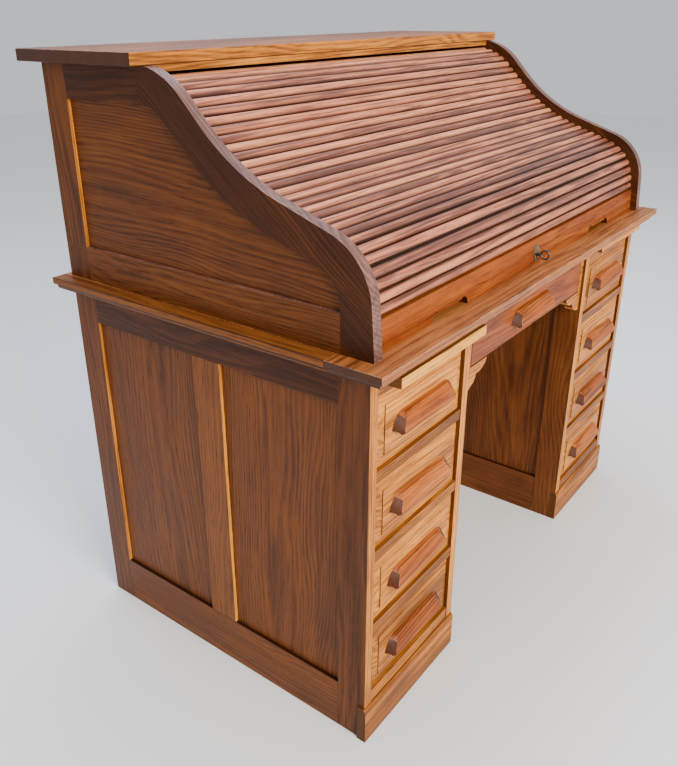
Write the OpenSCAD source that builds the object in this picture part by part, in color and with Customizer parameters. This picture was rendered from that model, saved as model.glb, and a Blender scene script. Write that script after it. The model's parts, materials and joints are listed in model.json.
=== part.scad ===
// Roll top desk: two four-drawer pedestals, a desktop with pull-out writing
// slides, and an S-curved case closed by a tambour curtain of slats on canvas.
// Axes: +X to the right, +Y to the back, +Z up. Origin: floor, bottom centre.

/* [Desktop] */
// Width of the desktop across the front, mm
desk_w = 1270; // [1200:5:1350]
// Height of the writing surface above the floor, mm
desk_h = 775; // [740:1:790]
// Thickness of the desktop, mm
desk_t = 24; // [18:1:32]
// Front edge of the desktop, Y, mm
desk_front = -396.5; // [-420:0.5:-370]
// Back edge of the desktop, Y, mm
desk_back = 377; // [360:1:396]
// Depth of the front board of the desktop, mm
front_board = 105; // [80:1:140]
// Radius of the cove under the nose of the desktop, mm
cove_r = 10; // [4:0.5:12]

/* [Roll case] */
// Outer half width of the roll case, mm
case_x = 602; // [570:1:620]
// Thickness of the case sides, mm
case_t = 22; // [18:1:28]
// Height of the underside of the top deck, mm
case_top = 1169; // [1100:1:1200]
// Y of the S curve where it meets the desktop, mm
foot_y = -360.3; // [-370:0.1:-350]
// Width of the curved stile along the S curve, mm
stile_s = 58; // [45:1:70]
// Thickness of the top deck, mm
deck_t = 21; // [16:1:28]
// Half width of the top deck, mm
deck_x = 626.4; // [605:0.1:640]
// Front edge of the top deck, Y, mm
deck_front = 90; // [70:1:110]
// Back edge of the top deck, Y, mm
deck_back = 396.5; // [370:0.5:400]

/* [S curve] */
// Straight run up from the desktop, mm
s_foot = 84; // [60:1:110]
// Radius of the lower convex arc, mm
s_r1 = 113; // [90:1:140]
// Straight run over the shoulder, mm
s_mid = 102; // [60:1:140]
// Radius of the concave arc, mm
s_r2 = 398; // [250:1:500]
// Straight run below the crown, mm
s_rise = 50; // [20:1:90]
// Radius of the crown, mm
s_r3 = 147; // [110:1:180]

/* [Tambour] */
// Canvas line inside the S curve, mm
canvas_off = 28; // [22:0.5:34]
// Distance from slat to slat, mm
slat_pitch = 19; // [15:0.5:26]
// Width of one slat, mm
slat_w = 17.4; // [12:0.1:18]
// Thickness of one slat, mm
slat_t = 11; // [6:0.5:13]
// Height of the lift rail along the curtain, mm
rail_h = 54; // [45:1:70]
// Half length of the slats and the lift rail, mm
curtain_x = 579; // [550:0.5:579]

/* [Pedestals] */
// Outer half width of the pedestals, mm
ped_out = 600; // [580:1:610]
// Half width of the kneehole, mm
ped_in = 279; // [250:1:320]
// Thickness of the pedestal side frames, mm
side_t = 22; // [18:1:26]
// Front face of the pedestals, Y, mm
ped_front = -353.6; // [-360:0.1:-340]
// Back face of the pedestals, Y, mm
ped_back = 359; // [340:1:370]
// Width of the stiles of the side frames, mm
stile_w = 62; // [45:1:80]
// Height of the bottom rails of the side frames, mm
bottom_rail = 108; // [80:1:130]
// Height of the plinth, mm
plinth_h = 79; // [60:1:100]

/* [Drawers] */
// Height of a pedestal drawer front, mm
drawer_h = 132; // [110:1:133]
// Distance from drawer to drawer, mm
drawer_pitch = 156; // [150:1:160]
// Bottom edge of the lowest drawer opening, mm
drawer_z0 = 106; // [100:1:112]
// Length of the drawer box behind its front, mm
drawer_len = 600; // [450:10:640]
// Width of the bevelled border of a drawer front, mm
bevel_w = 21; // [10:1:30]
// How far the left writing slide stands pulled out, mm
slide_pull = 15; // [0:1:15]

/* [Hidden] */
$fn = 96;
eps = 0.01;
gap = 0.2;
rad = PI / 180;
case_in = case_x - case_t;
under = desk_h - desk_t;
field_y = desk_front + front_board;
groove = 6;
panel_t = 8;
side_in = ped_out - side_t;
knee_in = ped_in + side_t;
top_rail_z = under - 64;
// Segments of the S curve as [radius or length, turn]; a turn of 0 is a straight run.
s_runs = [[s_foot, 0], [s_r1, -67], [s_mid, 0], [s_r2, 27], [s_rise, 0], [s_r3, -46]];
s_head = 86;

// ---- Curve helpers: points are [y, z], headings in degrees ----

// A point shift sideways from a heading; positive is to the left of travel.
function side(h, d) = d * [-sin(h), cos(h)];

// The S curve moved inside by d: runs as [length, turn].
function runs(d) = [
  for (r = s_runs)
    r[1] == 0 ? [r[0], 0]
    : r[1] < 0 ? [(r[0] - d) * -r[1] * rad, r[1]]
    : [(r[0] + d) * r[1] * rad, r[1]]
];

// Where a run of length l and turn t ends, from point p and heading h.
function ahead(p, h, l, t) =
  t == 0 ? p + l * [cos(h), sin(h)]
  : let (r = l / (t * rad)) p + side(h, r) - side(h + t, r);

// Point and heading at arc length s along a list of runs.
function along(q, s, p, h, i = 0) =
  let (l = q[i][0], t = q[i][1])
  s <= l || i == len(q) - 1
    ? [ahead(p, h, s, t * s / l), h + t * s / l]
    : along(q, s - l, ahead(p, h, l, t), h + t, i + 1);

function start(d) = [foot_y, desk_h] + side(s_head, -d);
function at(d, s) = along(runs(d), s, start(d), s_head);
function total(q, i = 0) = i == len(q) ? 0 : q[i][0] + total(q, i + 1);
function curve(d, n = 110) = [
  for (i = [0:n]) at(d, total(runs(d)) * i / n)[0]
];

// Vertices of the canvas: the foot, the top of the rail, then one every two slats.
function canvas(k) = at(canvas_off, k == 0 ? 0 : rail_h + 2 * slat_pitch * (k - 1))[0];
function heading(a, b) = atan2(b[1] - a[1], b[0] - a[0]);

// ---- Placing helpers ----

// Extrudes a [y, z] outline from x0 to x1.
module ext_x(x0, x1) {
  translate([x0, 0, 0])
    rotate([90, 0, 90])
      linear_extrude(x1 - x0)
        children();
}

// Extrudes an [x, z] outline from y0 to y1.
module ext_y(y0, y1) {
  translate([0, y1, 0])
    rotate([90, 0, 0])
      linear_extrude(y1 - y0)
        children();
}

// A box from its low corner to its high corner.
module box(a, b) {
  translate(a)
    cube(b - a);
}

// Draws its children as they are and mirrored across the middle of the desk.
module both() {
  children();
  mirror([1, 0, 0])
    children();
}

// Turns local [along, out] of the curtain span k into the desk's frame.
module on_span(k) {
  a = canvas(k);
  b = canvas(k + 1);
  translate([0, a[0], a[1]])
    rotate([heading(a, b), 0, 0])
      children();
}

oak = [0.76, 0.47, 0.20];
oak_red = [0.55, 0.27, 0.12];
oak_dark = [0.42, 0.21, 0.10];
oak_pale = [0.82, 0.66, 0.42];
brass = [0.62, 0.56, 0.42];
steel = [0.35, 0.34, 0.33];

// ---- Desktop ----

module cove_cut() {
  x = desk_w / 2;
  // along the front
  translate([-x - 1, desk_front, under + 1])
    rotate([0, 90, 0])
      cylinder(r = cove_r, h = desk_w + 2);
  // along the sides
  both()
    translate([x, desk_back + 1, under + 1])
      rotate([90, 0, 0])
        cylinder(r = cove_r, h = desk_back - desk_front + 2);
}

module desktop_field() {
  strip = 605;
  color(oak_red)
    difference() {
      union() {
        for (i = [0:3]) {
          d = (desk_back - field_y) / 4;
          box([-strip + gap, field_y + gap / 2 + i * d, under],
              [strip - gap, field_y + (i + 1) * d - gap / 2, desk_h]);
        }
        both()
          box([strip, field_y + gap, under], [desk_w / 2, desk_back, desk_h]);
      }
      cove_cut();
    }
}

module desktop_front_board() {
  color(oak_red)
    difference() {
      box([-desk_w / 2, desk_front, under], [desk_w / 2, field_y - gap / 2, desk_h]);
      cove_cut();
      // seat of the strike plate and hole for the bolt
      box([-22.1, -345.1, desk_h - 2.1], [22.1, -319.9, desk_h + 1]);
      box([-9, -335, desk_h - 16], [9, -325, desk_h]);
    }
}

// ---- Roll case ----

module case_outline(d) {
  pts = [for (p = curve(d)) [p[0], min(p[1], case_top)]];
  last = pts[len(pts) - 1];
  polygon(concat(pts, [
    [last[0], case_top],
    [ped_back, case_top],
    [ped_back, desk_h],
    [pts[0][0], desk_h]
  ]));
}

// Opening of the side frame, grown by g.
module case_opening(g) {
  intersection() {
    polygon(concat(curve(stile_s - g), [[400, 1111 + g], [400, desk_h], [foot_y + stile_s - g, desk_h]]));
    translate([-298 - g, 841 - g])
      square([596 + 2 * g, 268 + 2 * g]);
  }
}

module case_frame() {
  rear = 298;
  difference() {
    ext_x(case_in, case_x)
      difference() {
        case_outline(0);
        case_opening(0);
        // joints between the stiles and the rails
        translate([rear, desk_h])
          square([gap, 500]);
        translate([-298 - gap, desk_h - 1])
          square([gap, 68]);
        translate([107, 1100])
          square([gap, 100]);
      }
    ext_x(case_in + 6.9, case_in + 15.1)
      case_opening(groove + 0.1);
  }
}

module case_side_left() {
  color(oak_dark)
    mirror([1, 0, 0])
      case_frame();
}

module case_side_right() {
  color(oak_dark)
    case_frame();
}

module case_panels() {
  color(oak_dark)
    both()
      ext_x(case_in + 7, case_in + 15)
        case_opening(groove - 0.1);
}

module case_back() {
  x = case_in - gap;
  y0 = 335;
  w = 2 * x;
  color(oak_dark)
    difference() {
      union() {
        box([-x, y0, desk_h], [x, ped_back, 850]);
        box([-x, y0, 1090], [x, ped_back, case_top]);
        for (i = [0:3])
          translate([-x + i * (w - 70) / 3, 0, 0])
            box([0, y0, 850 + gap], [70, ped_back, 1090 - gap]);
        for (i = [0:2])
          translate([-x + 64 + i * (w - 70) / 3, 0, 0])
            box([gap, y0 + 7.1, 844 + gap],
                [(w - 70) / 3 - 58 - gap, y0 + 16.9, 1096 - gap]);
      }
      // grooves round each panel
      for (i = [0:2])
        translate([-x + 64 + i * (w - 70) / 3, 0, 0])
          difference() {
            box([0, y0 + 7, 844], [(w - 70) / 3 - 58, y0 + 17, 1096]);
            box([gap, y0 + 7.1, 844 + gap],
                [(w - 70) / 3 - 58 - gap, y0 + 16.9, 1096 - gap]);
          }
    }
}

module top_deck() {
  color(oak)
    for (i = [0:1]) {
      d = (deck_back - deck_front) / 2;
      box([-deck_x, deck_front + i * d + gap / 2 * i, case_top],
          [deck_x, deck_front + (i + 1) * d - gap / 2 * (1 - i), case_top + deck_t]);
    }
}

module deck_fascia() {
  color(oak_dark)
    box([-case_in + gap, 92, 1157.8], [case_in - gap, 110, case_top]);
}

// ---- Base ----

// One side frame of a pedestal between x0 and x1, grooved for its panels.
module side_frame(x0, x1) {
  mid = stile_w - 29;
  f = ped_front;
  b = ped_back;
  difference() {
    union() {
      box([x0, f, 0], [x1, f + stile_w - 1, under]);
      box([x0, b - stile_w, 0], [x1, b, under]);
      box([x0, f + stile_w - 1 + gap, top_rail_z], [x1, b - stile_w - gap, under]);
      box([x0, f + stile_w - 1 + gap, 0], [x1, b - stile_w - gap, bottom_rail]);
      box([x0, -mid, bottom_rail + gap], [x1, mid, top_rail_z - gap]);
    }
    side_panels(x0, 0.1);
    // seat of the plinth
    box([x0 - 1, f - 1, -1], [x1 + 1, -339.8, plinth_h + gap]);
  }
}

// The two panels of a side frame, grown by g.
module side_panels(x0, g) {
  mid = stile_w - 29;
  for (r = [[ped_front + stile_w - 1, -mid], [mid, ped_back - stile_w]])
    box([x0 + 7 - g, r[0] - groove - g, bottom_rail - groove - g],
        [x0 + 7 + panel_t + g, r[1] + groove + g, top_rail_z + groove + g]);
}

module pedestal() {
  side_frame(side_in, ped_out);
  side_frame(ped_in, knee_in);
}

module pedestal_left() {
  color(oak_red)
    mirror([1, 0, 0])
      pedestal();
}

module pedestal_right() {
  color(oak_red)
    pedestal();
}

module pedestal_panels() {
  color(oak_dark)
    both() {
      side_panels(side_in, 0);
      side_panels(ped_in, 0);
    }
}

module base_backs() {
  y0 = 339;
  x0 = knee_in + gap;
  x1 = side_in - gap;
  color(oak_dark)
    both()
      difference() {
        union() {
          box([x0, y0, 20], [x0 + 50, ped_back, under]);
          box([x1 - 50, y0, 20], [x1, ped_back, under]);
          box([x0 + 50 + gap, y0, 20], [x1 - 50 - gap, ped_back, 90]);
          box([x0 + 50 + gap, y0, under - 60], [x1 - 50 - gap, ped_back, under]);
          box([x0 + 44 + gap, y0 + 6.1, 84 + gap], [x1 - 44 - gap, y0 + 13.9, under - 54 - gap]);
        }
        difference() {
          box([x0 + 44, y0 + 6, 84], [x1 - 44, y0 + 14, under - 54]);
          box([x0 + 44 + gap, y0 + 6.1, 84 + gap], [x1 - 44 - gap, y0 + 13.9, under - 54 - gap]);
        }
      }
}

module drawer_rails() {
  x0 = knee_in + gap;
  x1 = side_in - gap;
  f = ped_front + 1;
  color(oak)
    both() {
      // base rail, three dividers and the rail under the writing slide
      for (r = [[plinth_h + 0.4, drawer_z0], [240, 262], [396, 418], [552, 574], [708, 732]]) {
        box([x0, f, r[0]], [x1, -300, r[1]]);
        // runners behind it
        box([x0, -300 + gap, r[1] - 20], [x0 + 20, 338.8, r[1]]);
        box([x1 - 20, -300 + gap, r[1] - 20], [x1, 338.8, r[1]]);
      }
      // runner of the centre drawer on the kneehole side
      box([ped_in - 20.2, -320, 640], [ped_in - gap, 200, 655]);
      // top bearer between the runners for the writing slide
      box([x0 + 20.2, 0, 712], [x1 - 20.2, 40, 732]);
    }
}

module plinths() {
  r = 9;
  color(oak)
    both()
      ext_x(ped_in, ped_out + 4)
        union() {
          translate([-358.6, 0])
            square([18.6, plinth_h - r]);
          translate([-358.6 + r, plinth_h - r - eps])
            square([18.6 - r, r + eps]);
          translate([-358.6 + r, plinth_h - r])
            circle(r = r);
        }
}

// Apron at one end of the kneehole: a filler beside the drawer and a bracket whose edge
// falls in two rolls from its tip to the pedestal.
module knee_bracket() {
  reach = 83;
  step = 42;
  roll = 22;
  block = 16;
  front = -347.6;
  thick = 20;
  z0 = 596;
  z1 = 642;
  tip = ped_in - reach;
  mid = tip + step;
  ext_y(front, front + thick)
    union() {
      // glue block up to the underside of the desktop
      translate([ped_in - block, z0])
        square([block - gap, under - z0 - gap]);
      // two rolls, one above the other
      polygon(concat(
        [[ped_in - gap, z0], [ped_in - gap, z1], [tip, z1]],
        [for (a = [6:6:90]) [mid - (mid - tip) * cos(a), z1 - roll * sin(a)]],
        [for (a = [6:6:84]) [ped_in - (ped_in - mid) * cos(a), z1 - roll - (z1 - roll - z0) * sin(a)]]
      ));
    }
}

module knee_brackets() {
  color(oak)
    both()
      knee_bracket();
}

// ---- Gallery inside the roll case ----

module gallery() {
  y0 = 55;
  y1 = 235;
  z0 = desk_h;
  color(oak_pale) {
    box([-575, y0, z0], [575, y1, z0 + 10]);
    box([-575, y0, z0 + 138], [575, y1, z0 + 150]);
    box([-575, y1 - 8, z0 + 10 + gap], [575, y1, z0 + 138 - gap]);
    both() {
      for (x = [195, 320, 445, 565])
        box([x, y0 + 2, z0 + 10 + gap], [x + 10, y1 - 8 - gap, z0 + 138 - gap]);
      box([330 + gap, y0 + 2, z0 + 68], [445 - gap, y1 - 8 - gap, z0 + 76]);
    }
  }
}

module gallery_drawer(s) {
  z0 = desk_h + 11;
  color(oak)
    translate([s * 387.5, 0, 0]) {
      box([-56, 56, z0], [56, 66, z0 + 56]);
      translate([0, 56, z0 + 28])
        rotate([90, 0, 0])
          cylinder(r1 = 5, r2 = 8, h = 14);
      for (m = [-1, 1])
        translate([m * 52, 0, 0])
          box([-4, 66.2, z0 + 1], [4, 214, z0 + 46]);
      box([-47.8, 206, z0 + 1], [47.8, 214, z0 + 44]);
      box([-47.8, 66.2, z0 + 2], [47.8, 205.8, z0 + 7]);
    }
}

module gallery_drawer_left() {
  gallery_drawer(-1);
}

module gallery_drawer_right() {
  gallery_drawer(1);
}

// ---- Drawers ----

// A raised front: bevelled border, a small step and a flat field.
module raised_front(x0, x1, z0, z1) {
  b = bevel_w;
  back = ped_front + 20.6;
  union() {
    box([x0, ped_front + 7, z0], [x1, back, z1]);
    hull() {
      box([x0, ped_front + 7, z0], [x1, ped_front + 7 + eps, z1]);
      box([x0 + b, ped_front + 3.1, z0 + b], [x1 - b, ped_front + 3.1 + eps, z1 - b]);
    }
    box([x0 + b, ped_front + 0.6, z0 + b], [x1 - b, ped_front + 8, z1 - b]);
  }
}

// The box behind a front: two sides, a back and a bottom let in between them.
module drawer_box(x0, x1, z0, z1, y0, len) {
  t = 12;
  y1 = y0 + len;
  box([x0, y0 + gap, z0], [x0 + t, y1, z1]);
  box([x1 - t, y0 + gap, z0], [x1, y1, z1]);
  box([x0 + t + gap, y1 - t, z0 + 14], [x1 - t - gap, y1, z1 - 8]);
  box([x0 + t + gap, y0 + gap, z0 + 6], [x1 - t - gap, y1, z0 + 13.8]);
}

// n counts from the top, s is -1 for the left pedestal and 1 for the right.
module drawer(s, n) {
  z0 = drawer_z0 + (4 - n) * drawer_pitch + 1;
  mirror([s < 0 ? 1 : 0, 0, 0]) {
    color(oak)
      raised_front(knee_in + 1.2, side_in - 1.2, z0, z0 + drawer_h);
    color(oak_pale)
      drawer_box(knee_in + 3, side_in - 3, z0 - 0.5, z0 + 108, ped_front + 20.6, drawer_len);
  }
}

module drawer_centre() {
  z0 = 644;
  z1 = under - 10;
  color(oak) {
    box([-261.5, -347.6, z0], [261.5, -327.6, z1]);
  }
  color(oak_pale)
    drawer_box(-257, 257, z0 + 12, z1 - 16, -327.6, 460);
}

// A wooden grip with sloped face, raked ends and a hollow under it.
// Its base is centred on x = 0 with its top edge at z = 0, on the plane y = 0.
module pull(top_w, low_w) {
  foot = 39;
  grip = 17.4;
  hollow_r = 10;
  hollow_y = -2.5;
  swell = low_w - top_w;
  color(oak)
    difference() {
      hull() {
        // foot on the drawer front: its ends swell out towards the lower edge
        ext_y(-eps, 0)
          polygon(concat(
            [for (a = [0:9:90]) [-low_w + swell * (1 - cos(a)), -foot + foot * sin(a)]],
            [for (a = [90:-9:0]) [low_w - swell * (1 - cos(a)), -foot + foot * sin(a)]]
          ));
        ext_y(-8, -7.9)
          translate([-top_w + 1, -4.5])
            square([2 * top_w - 2, 1]);
        ext_y(-13, -12.9)
          translate([-top_w - 6, -13])
            square([2 * top_w + 12, 1]);
        ext_y(-grip, -grip + 0.1)
          translate([-low_w + 15, -34])
            square([2 * low_w - 30, 6]);
      }
      // finger hollow
      translate([-low_w - 1, hollow_y, -foot])
        rotate([0, 90, 0])
          cylinder(r = hollow_r, h = 2 * low_w + 2);
      box([-low_w - 1, -grip - 2, -foot - hollow_r - 1], [low_w + 1, 1, -foot]);
    }
}

module drawer_pull(s, n) {
  z0 = drawer_z0 + (4 - n) * drawer_pitch;
  translate([s * (side_in + knee_in) / 2, ped_front + 0.6, z0 + 86])
    pull(67, 98);
}

module pull_centre() {
  translate([0, -347.6, 702])
    pull(67, 98);
}

module writing_slide(s, out) {
  x0 = knee_in + 2.5;
  x1 = side_in - 2.5;
  y0 = -377.6 - out;
  color(oak_pale)
    mirror([s < 0 ? 1 : 0, 0, 0]) {
      box([x0, y0, 732.4], [x1, y0 + 22, 750.4]);
      box([x0, y0 + 22 + gap, 732.4], [x1, y0 + 400, 750.4]);
    }
}

// ---- Tambour ----

// One slat: square flanks for three millimetres, then a low elliptical back.
module slat_profile(w) {
  n = 16;
  polygon(concat([[w / 2, 0]], [
    for (i = [0:n])
      [w / 2 * cos(180 * i / n), 3 + (slat_t - 3) * sin(180 * i / n)]
  ], [[-w / 2, 0]]));
}

// Two slats and their strip of canvas between canvas vertices k and k + 1.
module slats(k) {
  c = norm(canvas(k + 1) - canvas(k));
  rod_low = k == 12;
  rod_high = k == 11;
  on_span(k) {
    color(oak_red)
      ext_x(-curtain_x, curtain_x)
        difference() {
          for (i = [0, 1])
            translate([c / 2 + (i - 0.5) * slat_pitch * c / (2 * slat_pitch), 0])
              slat_profile(slat_w);
          if (rod_low)
            circle(r = 1.9, $fn = 32);
          if (rod_high)
            translate([c, 0])
              circle(r = 1.9, $fn = 32);
        }
    color([0.70, 0.64, 0.52])
      box([-curtain_x + 20, rod_low ? 2 : 0.5, -1],
          [curtain_x - 20, c - (rod_high ? 2 : 0.5), -0.1]);
  }
}

// Lift rail in the local frame of span 0: y runs up the rail, z points out.
module rail_local(s0, s1, n0, n1, x) {
  box([-x, s0, n0], [x, s1, n1]);
}

key_s = 22;

module lift_rail() {
  notch_x = 302;
  notch_w = 96;
  notch_top = desk_h + 13.5;
  lobe_r = 13.5;
  color(oak_red)
    difference() {
      on_span(0)
        rail_local(-6, rail_h - 0.5, -5, 13, curtain_x);
      // level foot of the rail
      box([-600, -400, 700], [600, -300, desk_h + 0.3]);
      // two finger notches with a round lobe at each end
      both()
        ext_y(-400, -300)
          union() {
            translate([notch_x, desk_h - 5])
              square([notch_w, notch_top - desk_h + 5]);
            for (x = [notch_x, notch_x + notch_w])
              translate([x, desk_h + 3])
                circle(r = lobe_r, $fn = 48);
          }
      // seat of the lock and the keyhole
      on_span(0) {
        rail_local(5.8, 48.2, -6, 7.2, 32.2);
        rail_local(-6, 7, -4.9, -0.3, 8);
        translate([0, key_s, 0])
          cylinder(r = 3.4, h = 20, $fn = 32);
        rail_local(key_s - 9, key_s, 0, 20, 1.7);
      }
    }
}

module curtain_rod() {
  v = canvas(12);
  color(steel)
    translate([-curtain_x, v[0], v[1]])
      rotate([0, 90, 0])
        cylinder(r = 1.3, h = 2 * curtain_x, $fn = 32);
}

module escutcheon() {
  color(brass)
    on_span(0)
      difference() {
        hull() {
          translate([0, 16, 13.05])
            cylinder(r = 9, h = 1.6, $fn = 32);
          translate([0, 26, 13.05])
            cylinder(r = 13, h = 1.6, $fn = 32);
          translate([0, 36, 13.05])
            cylinder(r = 6, h = 1.6, $fn = 32);
        }
        translate([0, key_s, 10])
          cylinder(r = 3.2, h = 20, $fn = 32);
        rail_local(key_s - 8.5, key_s, 10, 20, 1.6);
      }
}

module lock_case() {
  color(brass)
    on_span(0)
      difference() {
        rail_local(6, 48, -4.95, 7, 32);
        // bolt channel and the room in which the key turns
        rail_local(5, 36, -4.9, -0.3, 7.6);
        translate([0, key_s, 0.6])
          cylinder(r = 10, h = 4.8, $fn = 48);
        translate([0, key_s, 0.6])
          cylinder(r = 3.2, h = 20, $fn = 32);
        rail_local(key_s - 8.5, key_s, 0.6, 20, 1.6);
      }
}

module lock_bolt() {
  color(steel)
    on_span(0)
      rail_local(4.6, 30, -4.6, -0.6, 7);
}

// Stem along the outward axis, a bit inside the lock and a ring to turn it by.
module key() {
  color(steel)
    on_span(0)
      translate([0, key_s, 0]) {
        translate([0, 0, 1.2])
          cylinder(r = 2.4, h = 21, $fn = 32);
        box([-1, -8, 1.6], [1, 0, 4.8]);
        translate([0, 0, 16.5])
          cylinder(r = 3.8, h = 2.2, $fn = 32);
        translate([0, 0, 32])
          rotate([0, 90, 0])
            rotate_extrude($fn = 48)
              translate([8.5, 0])
                circle(r = 2, $fn = 24);
      }
}

module strike_plate() {
  color(brass)
    difference() {
      box([-22, -345, desk_h - 2], [22, -320, desk_h]);
      box([-8.5, -334.5, desk_h - 3], [8.5, -325.5, desk_h + 1]);
      for (m = [-1, 1])
        translate([m * 16, -332.5, desk_h - 3])
          cylinder(r = 1.6, h = 4, $fn = 24);
    }
}

desktop_field();
desktop_front_board();
top_deck();
deck_fascia();
case_side_left();
case_side_right();
case_panels();
case_back();
pedestal_left();
pedestal_right();
pedestal_panels();
base_backs();
drawer_rails();
plinths();
knee_brackets();
gallery();
gallery_drawer_left();
gallery_drawer_right();
drawer(-1, 1);  // drawer_left_1
drawer(-1, 2);  // drawer_left_2
drawer(-1, 3);  // drawer_left_3
drawer(-1, 4);  // drawer_left_4
drawer(1, 1);  // drawer_right_1
drawer(1, 2);  // drawer_right_2
drawer(1, 3);  // drawer_right_3
drawer(1, 4);  // drawer_right_4
drawer_centre();
drawer_pull(-1, 1);  // pull_left_1
drawer_pull(-1, 2);  // pull_left_2
drawer_pull(-1, 3);  // pull_left_3
drawer_pull(-1, 4);  // pull_left_4
drawer_pull(1, 1);  // pull_right_1
drawer_pull(1, 2);  // pull_right_2
drawer_pull(1, 3);  // pull_right_3
drawer_pull(1, 4);  // pull_right_4
pull_centre();
writing_slide(-1, slide_pull);  // writing_slide_left
writing_slide(1, 0);  // writing_slide_right
lift_rail();
curtain_rod();
slats(1);  // slats_01
slats(2);  // slats_02
slats(3);  // slats_03
slats(4);  // slats_04
slats(5);  // slats_05
slats(6);  // slats_06
slats(7);  // slats_07
slats(8);  // slats_08
slats(9);  // slats_09
slats(10);  // slats_10
slats(11);  // slats_11
slats(12);  // slats_12
slats(13);  // slats_13
slats(14);  // slats_14
slats(15);  // slats_15
escutcheon();
lock_case();
key();
lock_bolt();
strike_plate();
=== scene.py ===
import json
import math
import random

import bmesh
import bpy
import numpy as np
from mathutils import Euler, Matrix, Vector
from mathutils.bvhtree import BVHTree


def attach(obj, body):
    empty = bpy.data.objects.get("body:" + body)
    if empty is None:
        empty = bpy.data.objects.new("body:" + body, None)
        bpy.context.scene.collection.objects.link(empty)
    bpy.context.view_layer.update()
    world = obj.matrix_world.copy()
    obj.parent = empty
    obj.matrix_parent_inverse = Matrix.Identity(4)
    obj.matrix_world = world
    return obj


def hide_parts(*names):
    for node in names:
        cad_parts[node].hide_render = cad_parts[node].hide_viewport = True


# The look of the roll top desk, in metres. Each oak board of the CAD model gets eased arrises, a
# grain of its own and old varnish. The metal pieces get their metals.

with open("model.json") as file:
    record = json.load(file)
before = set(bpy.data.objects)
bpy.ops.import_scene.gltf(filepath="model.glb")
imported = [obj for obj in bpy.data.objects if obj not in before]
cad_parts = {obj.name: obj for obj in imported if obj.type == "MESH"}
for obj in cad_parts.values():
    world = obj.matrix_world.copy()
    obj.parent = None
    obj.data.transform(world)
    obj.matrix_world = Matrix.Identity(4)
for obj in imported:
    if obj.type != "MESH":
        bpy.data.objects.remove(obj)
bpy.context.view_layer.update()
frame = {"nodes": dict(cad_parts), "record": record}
NODES = frame["nodes"]
BODY = {node: body for body, nodes in frame["record"]["behaviour"]["bodies"].items() for node in nodes}
SLOT = {part["node"]: part["material_slot"] for part in frame["record"]["subparts"]}
MM = 0.001

# Oak: noise patterns as (cells a metre along the grain, across it, detail, roughness)
WANDER = (1.8, 6.0, 2.0, 0.5)
RIPPLE = (7.0, 70.0, 2.0, 0.5)
PORE = (30.0, 700.0, 2.0, 0.6)
DASH = (13.0, 330.0, 2.0, 0.55)
STREAK = (4.5, 190.0, 3.0, 0.6)
BAND = (1.6, 42.0, 2.0, 0.5)
CLOUD = (5.0, 13.0, 3.0, 0.6)
PATCH = (20.0, 20.0, 3.0, 0.65)

RINGS_PER_M = 165.0
WANDER_M = 0.07         # how far the rings wander along a board
RIPPLE_M = 0.005

# Oak: how much each pattern moves the colour along the ramp
STREAK_DEPTH = 0.70
BAND_DEPTH = 0.40
CLOUD_DEPTH = 0.60
EARLY_DEPTH = 0.15
TONE_DEPTH = 0.17
RAMP_AT = (0.02, 0.25, 0.50, 0.84)

# Oak: how strongly a mark covers the colour, and its shade of the deepest colour
DASH_INK = 0.55
PORE_INK = 0.65
PORE_SHADE = 0.40
# these marks darken the cut ends of the grain, and as painted shade the undersides, the lower and
# right chamfers of drawer fronts and faces in narrow gaps
END_GRAIN_AND_SHADE_INK = 0.92
END_GRAIN_AND_SHADE_DEPTH = 0.28
# painted shade down in the grooves between slats: how strongly it covers, and its share of the deepest
# colour
GROOVE_SHADE_INK = 0.9
GROOVE_SHADE_DEPTH = 0.12

COAT_ROUGHNESS = 0.24
TARNISH_SCALE = 240.0
WEAVE_SCALE = 900.0

# Boards
SHARP = math.radians(28)             # edges over this angle are eased
CREASE = math.radians(40)            # edges over this angle are shaded sharp
FLAT = math.radians(0.4)             # CAD facets under this angle are merged
WELD = 2e-5
BUTT_REACH = 0.45 * MM               # another board this close means that two boards butt
BUTT_OFFSET = 0.3 * MM
GAP_OFFSET = 2.0 * MM                # where a gap's far wall is looked for, and how far round
GAP_REACH = 1.9 * MM
NARROW = 0.03
LONG = 0.3                           # tells stiles and side strips from the short boards
GROOVE_SHADE_START, GROOVE_SHADE_WIDTH = 0.66, 0.30   # share of a slat's half width where the painted shade in its groove starts
FOOT_Y, PANEL_Z = -0.298, 0.841      # the corner where the S stile, its foot and the low rail meet
SLOPE = Vector((0, 0.78, 0.62))      # the lie of the board that the S stile is sawn from
FRONT = -0.34                        # a board that starts before this is a drawer's front
GALLERY_FRONT = 0.06


# ---------------------------------------------------------- materials ----

def shade(color, share):
    return tuple(c * share for c in color)


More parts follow.
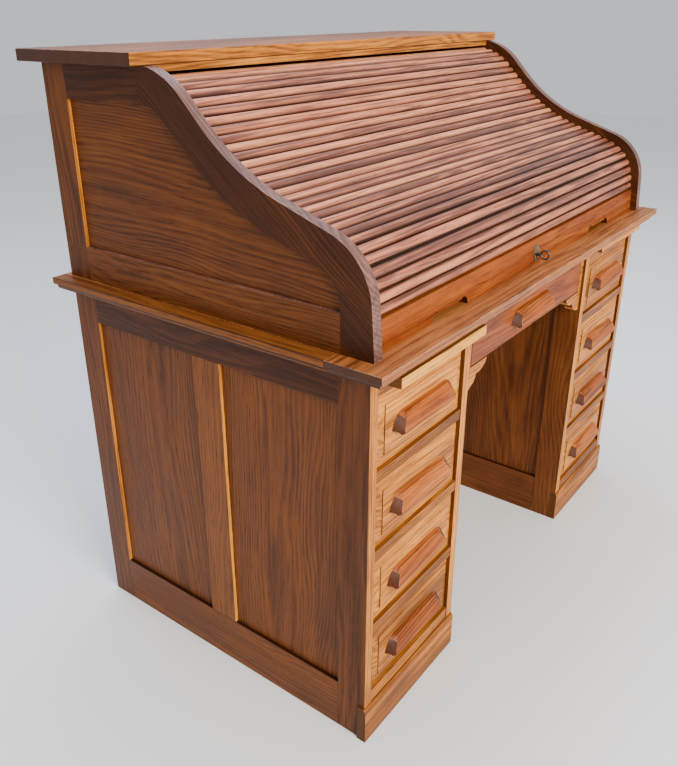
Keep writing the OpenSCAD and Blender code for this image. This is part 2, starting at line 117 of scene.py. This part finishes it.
class Nodes:
    """A material, and short ways to write its shader nodes."""

    def __init__(self, name):
        self.mat = bpy.data.materials.new(name)
        self.mat.use_nodes = True
        self.tree = self.mat.node_tree
        self.tree.nodes.clear()
        self.out = self.new("ShaderNodeOutputMaterial")
        self.bsdf = self.new("ShaderNodeBsdfPrincipled")
        self.link(self.bsdf.outputs[0], self.out.inputs["Surface"])

    def new(self, kind):
        return self.tree.nodes.new(kind)

    def link(self, a, b):
        self.tree.links.new(a, b)

    def put(self, sock, value):
        if hasattr(value, "links"):
            self.link(value, sock)
        else:
            sock.default_value = value

    def surface(self, name, value):
        self.put(self.bsdf.inputs[name], value)

    def math(self, op, a, b=0.0):
        node = self.new("ShaderNodeMath")
        node.operation = op
        self.put(node.inputs[0], a)
        self.put(node.inputs[1], b)
        return node.outputs[0]

    def add(self, a, b):
        return self.math("ADD", a, b)

    def sub(self, a, b):
        return self.math("SUBTRACT", a, b)

    def mul(self, a, b):
        return self.math("MULTIPLY", a, b)

    def combine(self, x, y, z):
        node = self.new("ShaderNodeCombineXYZ")
        for i, value in enumerate((x, y, z)):
            self.put(node.inputs[i], value)
        return node.outputs[0]

    def noise(self, vec, scale, detail=2.0, rough=0.5):
        node = self.new("ShaderNodeTexNoise")
        self.put(node.inputs["Vector"], vec)
        node.inputs["Scale"].default_value = scale
        node.inputs["Detail"].default_value = detail
        node.inputs["Roughness"].default_value = rough
        return node.outputs["Fac"]

    def attr(self, name, out="Vector"):
        node = self.new("ShaderNodeAttribute")
        node.attribute_name = name
        return node.outputs[out]

    def remap(self, value, lo, hi, to_lo=0.0, to_hi=1.0, kind="LINEAR"):
        node = self.new("ShaderNodeMapRange")
        node.interpolation_type = kind
        for i, item in enumerate((value, lo, hi, to_lo, to_hi)):
            self.put(node.inputs[i], item)
        return node.outputs[0]

    def fade(self, value, lo, hi, to_lo=0.0, to_hi=1.0):
        """As remap, easing in and out."""
        return self.remap(value, lo, hi, to_lo, to_hi, "SMOOTHSTEP")

    def mix(self, fac, a, b):
        node = self.new("ShaderNodeMix")
        node.data_type = "RGBA"
        self.put(node.inputs["Factor"], fac)
        for name, value in (("A", a), ("B", b)):
            sock = [i for i in node.inputs if i.name == name and i.type == "RGBA"][0]
            self.put(sock, value if hasattr(value, "links") else (*value, 1.0))
        return [o for o in node.outputs if o.type == "RGBA"][0]

    def ramp(self, fac, stops):
        node = self.new("ShaderNodeValToRGB")
        self.put(node.inputs[0], fac)
        elements = node.color_ramp.elements
        while len(elements) < len(stops):
            elements.new(0.5)
        for element, (position, color) in zip(elements, stops):
            element.position = position
            element.color = (*color, 1.0)
        return node.outputs[0]

    def bump(self, height, strength, distance):
        node = self.new("ShaderNodeBump")
        node.inputs["Strength"].default_value = strength
        node.inputs["Distance"].default_value = distance
        self.link(height, node.inputs["Height"])
        self.surface("Normal", node.outputs[0])


def oak(name, deep, mid, light, wear=(0.70, 0.38, 0.14), figure=1.0, rough=0.42, gloss=0.15,
        coat=0.0, worn=0.5, blotch=1.0, streaks=1.0):
    """Old varnished oak, from its deepest to its lightest colour. figure, streaks and blotch
    scale its patterns, wear and worn are the colour and strength of a rubbed arris. The mesh
    carries "grain": metres along, across and through the board from its pith, "tone": one
    number a board, "wear": up to 1 on the eased arrises, "end": 1 where the grain
    is cut across, and as painted shade on undersides, shaded chamfers and faces in narrow gaps,
    and "groove_shade": up to 1 down in a groove between slats, painted shade there."""
    n = Nodes(name)
    sep = n.new("ShaderNodeSeparateXYZ")
    n.link(n.attr("grain"), sep.inputs[0])
    u, v, w = sep.outputs

    def pattern(along, across, detail, roughness):
        place = n.combine(n.mul(u, along), n.mul(v, across), n.mul(w, across))
        return n.noise(place, 1.0, detail, roughness)

    # growth rings: circles about the pith that wander slowly along the board
    wander = n.sub(pattern(*WANDER), 0.5)
    side = n.add(v, n.mul(wander, WANDER_M * figure))
    radius = n.math("SQRT", n.add(n.mul(side, side), n.mul(w, w)))
    radius = n.add(radius, n.mul(pattern(*RIPPLE), RIPPLE_M))
    ring = n.math("FRACT", n.mul(radius, RINGS_PER_M))
    early = n.mul(n.fade(ring, 0.0, 0.22), n.fade(ring, 0.30, 0.85, 1.0, 0.0))

    # open pores: short dark dashes, crowded in the early wood
    pore = n.fade(pattern(*PORE), 0.54, 0.68)
    dash = n.fade(pattern(*DASH), 0.53, 0.70)
    crowd = n.remap(early, 0.0, 1.0, 0.35, 1.0)

    # colour: streaks, bands and clouds move it along the ramp
    cloud = n.sub(pattern(*CLOUD), 0.5)
    at = n.add(0.5, n.mul(n.sub(pattern(*STREAK), 0.5), STREAK_DEPTH * streaks))
    at = n.add(at, n.mul(n.sub(pattern(*BAND), 0.5), BAND_DEPTH * streaks))
    at = n.add(at, n.mul(cloud, CLOUD_DEPTH * blotch))
    at = n.sub(at, n.mul(early, EARLY_DEPTH))
    at = n.add(at, n.mul(n.attr("tone", "Fac"), TONE_DEPTH))
    col = n.ramp(at, list(zip(RAMP_AT, (shade(deep, 0.5), deep, mid, light))))

    # marks: pores, rubbed arrises, darkening where the grain is cut across with painted shade on
    # undersides, chamfers and in gaps, and painted shade in the slat grooves
    ink = shade(deep, PORE_SHADE)
    col = n.mix(n.mul(n.mul(dash, crowd), DASH_INK), col, ink)
    col = n.mix(n.mul(n.mul(pore, crowd), PORE_INK), col, ink)
    rub = n.mul(n.attr("wear", "Fac"), n.fade(pattern(*PATCH), 0.36, 0.62, 0.1, 1.0))
    col = n.mix(n.mul(rub, worn), col, wear)
    # darker where the grain is cut across; undersides, shaded chamfers and faces in gaps get the same
    # darkening as painted shade
    col = n.mix(n.mul(n.attr("end", "Fac"), END_GRAIN_AND_SHADE_INK), col, shade(deep, END_GRAIN_AND_SHADE_DEPTH))
    # painted shade that deepens the grooves between the slats
    col = n.mix(n.mul(n.attr("groove_shade", "Fac"), GROOVE_SHADE_INK), col, shade(deep, GROOVE_SHADE_DEPTH))
    n.surface("Base Color", col)

    # varnish
    n.surface("Specular IOR Level", gloss)
    dull = n.add(cloud, n.mul(pore, 0.25))
    n.surface("Roughness", n.remap(dull, -0.25, 0.35, rough - 0.06, rough + 0.12))
    n.surface("Coat Weight", coat)
    n.surface("Coat Roughness", COAT_ROUGHNESS)
    n.bump(n.mul(n.add(pore, n.mul(dash, 0.6)), -1.0), 0.4, 0.5 * MM)
    return n.mat


def metal(name, deep, light, rough):
    """Old metal: a mottled tarnish over a dull polish."""
    n = Nodes(name)
    place = n.new("ShaderNodeTexCoord").outputs["Object"]
    tarnish = n.noise(place, TARNISH_SCALE, 4.0, 0.6)
    n.surface("Base Color", n.ramp(tarnish, [(0.35, deep), (0.65, light)]))
    n.surface("Metallic", 1.0)
    n.surface("Roughness", n.remap(tarnish, 0.3, 0.7, rough - 0.1, rough + 0.15))
    n.bump(tarnish, 0.2, 0.3 * MM)
    return n.mat


def cloth(name, deep, light):
    """Old canvas, brown with age, in the colours given."""
    n = Nodes(name)
    place = n.new("ShaderNodeTexCoord").outputs["Object"]
    weave = n.new("ShaderNodeTexWave")
    n.link(place, weave.inputs["Vector"])
    weave.inputs["Scale"].default_value = WEAVE_SCALE
    stain = n.noise(place, 40.0, 3.0, 0.6)
    at = n.add(n.mul(weave.outputs["Fac"], 0.3), n.mul(stain, 0.7))
    n.surface("Base Color", n.ramp(at, [(0.2, deep), (0.8, light)]))
    n.surface("Roughness", 0.9)
    return n.mat


GOLD = oak("oak_golden", (0.23, 0.068, 0.008), (0.56, 0.190, 0.022), (0.84, 0.38, 0.055))
RAIL = oak("oak_rail", (0.10, 0.018, 0.002), (0.20, 0.038, 0.004), (0.34, 0.085, 0.009))
TOP = oak("oak_top", (0.14, 0.037, 0.009), (0.34, 0.105, 0.024), (0.50, 0.19, 0.048), gloss=0.25,
          wear=(0.86, 0.60, 0.34), worn=0.9)
SIDE = oak("oak_side", (0.062, 0.016, 0.003), (0.132, 0.036, 0.006), (0.22, 0.068, 0.012),
           figure=1.6, streaks=0.7, blotch=0.8)
# a pale lavender-pink oak for the curved edge of the S stile: a painted reflection of the sky on the
# varnish
EDGE_SHEEN = oak("oak_edge_painted_sheen", (0.18, 0.080, 0.060), (0.32, 0.145, 0.110), (0.42, 0.21, 0.160), gloss=0.4)
SLAT = oak("oak_slat", (0.17, 0.045, 0.020), (0.52, 0.165, 0.075), (0.80, 0.32, 0.140), gloss=0.5,
           coat=0.3)
PALE = oak("oak_inside", (0.26, 0.12, 0.04), (0.42, 0.22, 0.08), (0.55, 0.33, 0.14), rough=0.6)
PULL = oak("oak_pull", (0.15, 0.032, 0.005), (0.34, 0.080, 0.010), (0.54, 0.16, 0.03))
BRASS = metal("old_brass", (0.12, 0.10, 0.06), (0.42, 0.35, 0.22), 0.45)
STEEL = metal("dark_steel", (0.03, 0.028, 0.026), (0.16, 0.15, 0.14), 0.45)
ROD = metal("rod_steel", (0.25, 0.25, 0.26), (0.5, 0.5, 0.5), 0.35)
# canvas brown with age, and made far darker as painted shade in the gaps between the slats
CANVAS_GAP_SHADE = cloth("canvas", (0.030, 0.016, 0.008), (0.075, 0.042, 0.022))


# ------------------------------------------------------------- boards ----

def islands(bm):
    """Groups of connected vertices."""
    seen = set()
    out = []
    for first in bm.verts:
        if first in seen:
            continue
        stack = [first]
        part = []
        seen.add(first)
        while stack:
            vert = stack.pop()
            part.append(vert)
            for edge in vert.link_edges:
                other = edge.other_vert(vert)
                if other not in seen:
                    seen.add(other)
                    stack.append(other)
        out.append(part)
    return out


def faces_of(part):
    """The faces of an island, in an order that is the same each run."""
    return list(dict.fromkeys(f for v in part for f in v.link_faces))


def parts_of(node):
    """A CAD node's mesh, welded, with its flat faces whole."""
    bm = bmesh.new()
    bm.from_mesh(NODES[node].data)
    bmesh.ops.remove_doubles(bm, verts=bm.verts, dist=WELD)
    bmesh.ops.dissolve_limit(bm, angle_limit=FLAT, verts=bm.verts, edges=bm.edges)
    return bm


def neighbourhood(names):
    """One search tree over all boards: find(point, reach) gives the boards within reach."""
    verts = []
    faces = []
    owner = []
    for name in names:
        bm = parts_of(name)
        bmesh.ops.triangulate(bm, faces=bm.faces)
        for k, part in enumerate(islands(bm)):
            index = {v: len(verts) + i for i, v in enumerate(part)}
            verts += [v.co.copy() for v in part]
            for f in faces_of(part):
                faces.append([index[v] for v in f.verts])
                owner.append((name, k))
        bm.free()
    tree = BVHTree.FromPolygons(verts, faces)

    def find(point, reach):
        return {owner[i] for _, _, i, _ in tree.find_nearest_range(point, reach)}
    return find


def is_sharp(edge, angle):
    return len(edge.link_faces) == 2 and edge.calc_face_angle(0) >= angle


def ease(bm, node, wear, width, segments, rub):
    """Bevels the sharp edges that don't butt against another board, and marks them as worn."""
    owner = {v: (node, k) for k, part in enumerate(islands(bm)) for v in part}
    edges = []
    for e in bm.edges:
        if not is_sharp(e, SHARP):
            continue
        outward = (e.link_faces[0].normal + e.link_faces[1].normal).normalized() * BUTT_OFFSET
        a, b = e.verts
        spots = [a.co.lerp(b.co, t) + outward for t in (0.3, 0.7)]
        if all(not NEAR(spot, BUTT_REACH) - {owner[a]} for spot in spots):
            edges.append(e)
    res = bmesh.ops.bevel(bm, geom=edges, offset=width * MM, offset_type="OFFSET",
                          segments=segments, profile=0.5, affect="EDGES", clamp_overlap=True)
    for f in res["faces"]:
        f[wear] = rub


def board(node, mats, bevel=0.9, segments=2, rub=0.3, cuts=(), **look):
    """Stands for a CAD node: its boards with arrises eased by bevel mm, and with what the oak
    materials read. rub is how far the arrises are worn, cuts are planes (point, normal) that
    mark the joints inside one solid, and look is what dress() takes."""
    bm = parts_of(node)
    for point, normal in cuts:
        bmesh.ops.bisect_plane(bm, geom=bm.verts[:] + bm.edges[:] + bm.faces[:], plane_co=point,
                               plane_no=normal)
    wear = bm.faces.layers.float.new("wear")
    if bevel:
        ease(bm, node, wear, bevel, segments, rub)
    for e in bm.edges:
        e.smooth = len(e.link_faces) == 2 and e.calc_face_angle(0) < CREASE
    dress(bm, node, mats, **look)


def in_gap(f, owner):
    """A narrow face with another board close in front of it."""
    narrow = f.calc_area() < NARROW * f.calc_perimeter() / 2
    front = f.calc_center_median() + f.normal * GAP_OFFSET
    return bool(narrow and NEAR(front, GAP_REACH) - {owner})


def grain_axes(size, along):
    """Along, across and through a board, from its box and its forced direction, if any."""
    i = int(size.argmax()) if along is None or isinstance(along, Vector) else "XYZ".index(along)
    a = np.zeros(3)
    thin = np.zeros(3)
    a[i] = 1
    if isinstance(along, Vector):
        a = np.array(along.normalized())
        thin[int(size.argmin())] = 1
    else:
        thin[min((j for j in range(3) if j != i), key=lambda j: size[j])] = 1
    return a, np.cross(thin, a), thin


def painted_groove_shade(co, mid):
    """How deep in the grooves beside a slat a point lies, from 0 to 1, which sets the painted shade
    there.
    """
    yz = (co - mid)[:, 1:]
    wide = np.linalg.eigh(yz.T @ yz)[1][:, 1]
    half = np.abs(yz @ wide).max()

    def groove_shade(p):
        return min(max((abs(p[1:] @ wide) / half - GROOVE_SHADE_START) / GROOVE_SHADE_WIDTH, 0.0), 1.0)
    return groove_shade


def dress(bm, node, mats, axis=None, pick=None, tone=None, spread=1.0, cut_end=0.8, dim=None,
          group=None, grooved=False):
    """Gives each board its grain and tone, and puts the mesh in the CAD node's place. axis
    forces the grain along "X", "Y" or "Z" or gives a direction from the board's box, tone gives
    its depth of colour from that box, group tells boards within one solid apart by a point, pick
    gives a face's place in mats from its board's box and its normal, and dim says from a
    normal which faces get painted shade."""
    rnd = random.Random(node)
    grain = bm.loops.layers.float_vector.new("grain")
    depth = bm.loops.layers.float.new("tone")
    groove_shade_layer = bm.loops.layers.float.new("groove_shade")
    end = bm.faces.layers.float.new("end")
    bm.normal_update()
    for k, part in enumerate(islands(bm)):
        sets = {}
        for f in faces_of(part):
            sets.setdefault(group(f.calc_center_median()) if group else 0, []).append(f)
        for key in sorted(sets):
            faces = sets[key]
            co = np.array([v.co for f in faces for v in f.verts])
            lo, hi = co.min(0), co.max(0)
            box = Vector(lo), Vector(hi)
            mid = (lo + hi) / 2
            a, across, thin = grain_axes(hi - lo, axis(*box) if callable(axis) else axis)
            pith_side = rnd.uniform(-0.05, 0.05)
            pith_depth = rnd.uniform(0.03, 0.09)
            lean_side = rnd.uniform(-0.05, 0.05)
            lean_depth = rnd.uniform(-0.03, 0.03)
            start = rnd.uniform(0, 40)
            board_tone = rnd.uniform(-1, 1) * spread + (tone(*box) if tone else 0.0)
            groove_shade = painted_groove_shade(co, mid) if grooved else None
            for f in faces:
                n = f.normal
                f.material_index = pick(*box, n) if pick else 0
                # dark where the grain is cut across; the faces that dim picks and faces in narrow gaps
                # get painted shade
                dark = abs(n @ Vector(a)) > cut_end or (dim and dim(n)) or in_gap(f, (node, k))
                f[end] = 1.0 if dark else 0.0
                for loop in f.loops:
                    p = np.array(loop.vert.co) - mid
                    u = p @ a
                    v = p @ across + pith_side + lean_side * u
                    loop[grain] = (u + start, v, p @ thin + pith_depth + lean_depth * u)
                    loop[depth] = board_tone
                    if groove_shade:
                        loop[groove_shade_layer] = groove_shade(p)
    for f in bm.faces:
        f.smooth = True
    me = bpy.data.meshes.new(node + "_look")
    bm.to_mesh(me)
    bm.free()
    for mat in mats:
        me.materials.append(mat)
    ob = bpy.data.objects.new(node + "_look", me)
    bpy.context.scene.collection.objects.link(ob)
    normals = ob.modifiers.new("normals", "WEIGHTED_NORMAL")
    normals.weight = 100
    normals.keep_sharp = True
    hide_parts(node)
    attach(ob, BODY[node])


# ------------------------------------------------- what each board is ----
# lo and hi are the corners of a board's box, n is a face's normal.

def faces_front(n):
    return n.y < -0.7


def faces_down(n):
    return n.z < -0.3


def runs_back(lo, hi):
    return hi.y - lo.y > LONG


def even(value):
    """The same tone for every board."""
    return lambda lo, hi: value


def low_rail(c):
    return c.y > FOOT_Y and c.z < PANEL_Z


def s_stile(lo, hi):
    """The curved stile of a case side is sawn from a board laid along the slope."""
    return SLOPE if hi.y - lo.y > 0.35 and hi.z - lo.z > LONG else None


def case_tone_and_shade(lo, hi):
    """The S stile is the darkest; the top rail, under the top deck, is nearly as dark, painted shade.
    """
    if s_stile(lo, hi):
        return -1.5
    return -1.3 if lo.z > 1.0 else 0.1


def side_tone_and_shade(lo, hi):
    """The middle stiles of the pedestals are the lightest; the top rails, under the desktop's
    overhang, are the darkest, painted shade.
    """
    if lo.z > 0.1:
        return 1.7 if hi.z - lo.z > LONG else -0.8
    return 0.2 if hi.z - lo.z < LONG else 0.0


def case_sheen_and_lit_front(lo, hi, n):
    """The curved edge's top and front faces take a pale pink oak, a painted reflection of the sky on
    its varnish, and the rear stile's front edge takes the golden oak, painted light from the lamp in
    front.
    """
    if lo.y > 0.25:
        return 2 if faces_front(n) else 0
    return 1 if s_stile(lo, hi) and (n.z > 0.2 or faces_front(n)) else 0


# Front-facing faces take the lighter golden oak on boards that are otherwise darker oak: painted light
# from the lamp in front.
def painted_lit_front(lo, hi, n):
    return 1 if faces_front(n) else 0


# The desktop's strips that run back under the case sides take the dark side oak: painted shade from
# the case.
def shaded_side_strip(lo, hi, n):
    return 1 if runs_back(lo, hi) else 0


def slide_front(lo, hi, n):
    return 0 if hi.y - lo.y < 0.05 else 1


def drawer_front(lo, hi, n):
    return 0 if lo.y < FRONT else 1


def gallery_front(lo, hi, n):
    return 0 if lo.y < GALLERY_FRONT else 1


def canvas_strip(lo, hi, n):
    """The canvas is a little shorter than the slats."""
    return 1 if hi.x < 0.57 else 0


def shaded(n):
    """The chamfers of a drawer front that get painted shade: the lower one and the right one."""
    return n.y < -0.3 and (n.z < -0.2 or n.x > 0.2)


WOOD = [name for name in NODES if SLOT[name].startswith("oak")]
NEAR = neighbourhood([name for name in WOOD if not name.startswith(("slats", "pull"))])
CASE_CUTS = (((0, FOOT_Y, 0), (0, 1, 0)), ((0, 0, PANEL_Z), (0, 0, 1)))

# dim=faces_down paints shade on the undersides of the desktop and the deck
board("desktop_field", [TOP, SIDE], bevel=2.0, tone=lambda lo, hi: 0.8 if runs_back(lo, hi) else 0.0,
      pick=shaded_side_strip, dim=faces_down)
board("desktop_front_board", [TOP], bevel=2.5, segments=3, rub=1.0, dim=faces_down)
# the deck's front-facing faces take the golden oak as painted light
board("top_deck", [TOP, GOLD], bevel=2.0, rub=0.0, pick=painted_lit_front, dim=faces_down)
board("deck_fascia", [GOLD], bevel=1.0)
for side in ("left", "right"):
    board("case_side_" + side, [SIDE, EDGE_SHEEN, GOLD], bevel=1.0, rub=0.1, axis=s_stile,
          tone=case_tone_and_shade, spread=0.3, pick=case_sheen_and_lit_front, group=low_rail, cuts=CASE_CUTS)
    board("pedestal_" + side, [SIDE, GOLD], bevel=0.8, rub=0.15, tone=side_tone_and_shade, spread=0.4,
          pick=painted_lit_front)
board("case_panels", [SIDE], bevel=0.0, axis="Y", spread=0.3)
board("case_back", [SIDE], bevel=0.8)
board("pedestal_panels", [SIDE], bevel=0.0, axis="Z", tone=even(0.2), spread=0.4)
board("base_backs", [SIDE], bevel=0.8)
board("drawer_rails", [GOLD], bevel=0.8, tone=even(-1.1), spread=0.5)
board("plinths", [GOLD], bevel=0.8, tone=even(-1.1), spread=0.4)
board("knee_brackets", [GOLD], bevel=0.8, axis="X", tone=even(-0.6))
board("gallery", [PALE], bevel=0.8)
for side in ("left", "right"):
    board("gallery_drawer_" + side, [GOLD, PALE], bevel=0.5, pick=gallery_front)
    board("writing_slide_" + side, [GOLD, PALE], bevel=0.8, spread=0.2, tone=even(0.9),
          pick=slide_front)
    for number in "1234":
        board("drawer_%s_%s" % (side, number), [GOLD, PALE], bevel=0.8, rub=0.6,
              pick=drawer_front, dim=shaded)
        board("pull_%s_%s" % (side, number), [PULL], bevel=1.2, rub=0.6, cut_end=0.45)
board("drawer_centre", [RAIL, PALE], bevel=0.8, tone=even(0.9), spread=0.2, pick=drawer_front)
board("pull_centre", [PULL], bevel=1.2, rub=0.6, cut_end=0.45)
board("lift_rail", [RAIL], bevel=1.5)
for number in range(1, 16):
    board("slats_%02d" % number, [SLAT, CANVAS_GAP_SHADE], bevel=0.0, axis="X", spread=1.4, grooved=True,
          pick=canvas_strip)

METALS = {"curtain_rod": ROD, "escutcheon": BRASS, "lock_case": BRASS, "key": STEEL,
          "lock_bolt": STEEL, "strike_plate": BRASS}
for name, mat in METALS.items():
    materials = NODES[name].data.materials
    materials.clear()
    materials.append(mat)


# ------------------------------------------------------------ staging ----

FLOOR_HALF = 9


def area(name, place, target, size, power, color):
    """A square lamp that faces target."""
    data = bpy.data.lights.new(name, "AREA")
    data.energy = power
    data.color = color
    data.size = size
    lamp = bpy.data.objects.new(name, data)
    lamp.location = place
    lamp.rotation_euler = (Vector(target) - Vector(place)).to_track_quat("-Z", "Y").to_euler()
    bpy.context.scene.collection.objects.link(lamp)


corners = [(x * FLOOR_HALF, y * FLOOR_HALF, 0) for x, y in ((-1, -1), (1, -1), (1, 1), (-1, 1))]
floor_mesh = bpy.data.meshes.new("floor")
floor_mesh.from_pydata(corners, [], [(0, 1, 2, 3)])
floor = bpy.data.objects.new("floor", floor_mesh)
bpy.context.scene.collection.objects.link(floor)
paint = Nodes("floor_white")
paint.surface("Base Color", (0.88, 0.88, 0.87, 1))
paint.surface("Roughness", 0.9)
floor_mesh.materials.append(paint.mat)

world = bpy.data.worlds.new("studio")
bpy.context.scene.world = world
world.use_nodes = True
background = world.node_tree.nodes["Background"]
background.inputs["Color"].default_value = (0.90, 0.94, 1.0, 1)
background.inputs["Strength"].default_value = 0.75

area("key", (-1.5, -4.2, 2.7), (0, 0, 0.6), 2.4, 390, (1.0, 0.94, 0.84))
area("over", (0.3, 0.9, 3.6), (0, 0, 1.0), 2.6, 130, (0.72, 0.80, 1.0))

# the photographer's place, found from the desk's straight edges
camera_data = bpy.data.cameras.new("camera")
camera_data.sensor_width = 36.0
camera_data.lens = 36.892
camera_data.shift_x = 0.0205
camera_data.shift_y = -0.0251
camera_data.clip_start = 0.05
camera = bpy.data.objects.new("camera", camera_data)
camera.location = (-1.47294, -0.94105, 1.24841)
turn = (math.radians(65.695), math.radians(0.419), math.radians(-52.416))
camera.rotation_euler = Euler(turn, "XYZ")
bpy.context.scene.collection.objects.link(camera)
bpy.context.scene.camera = camera
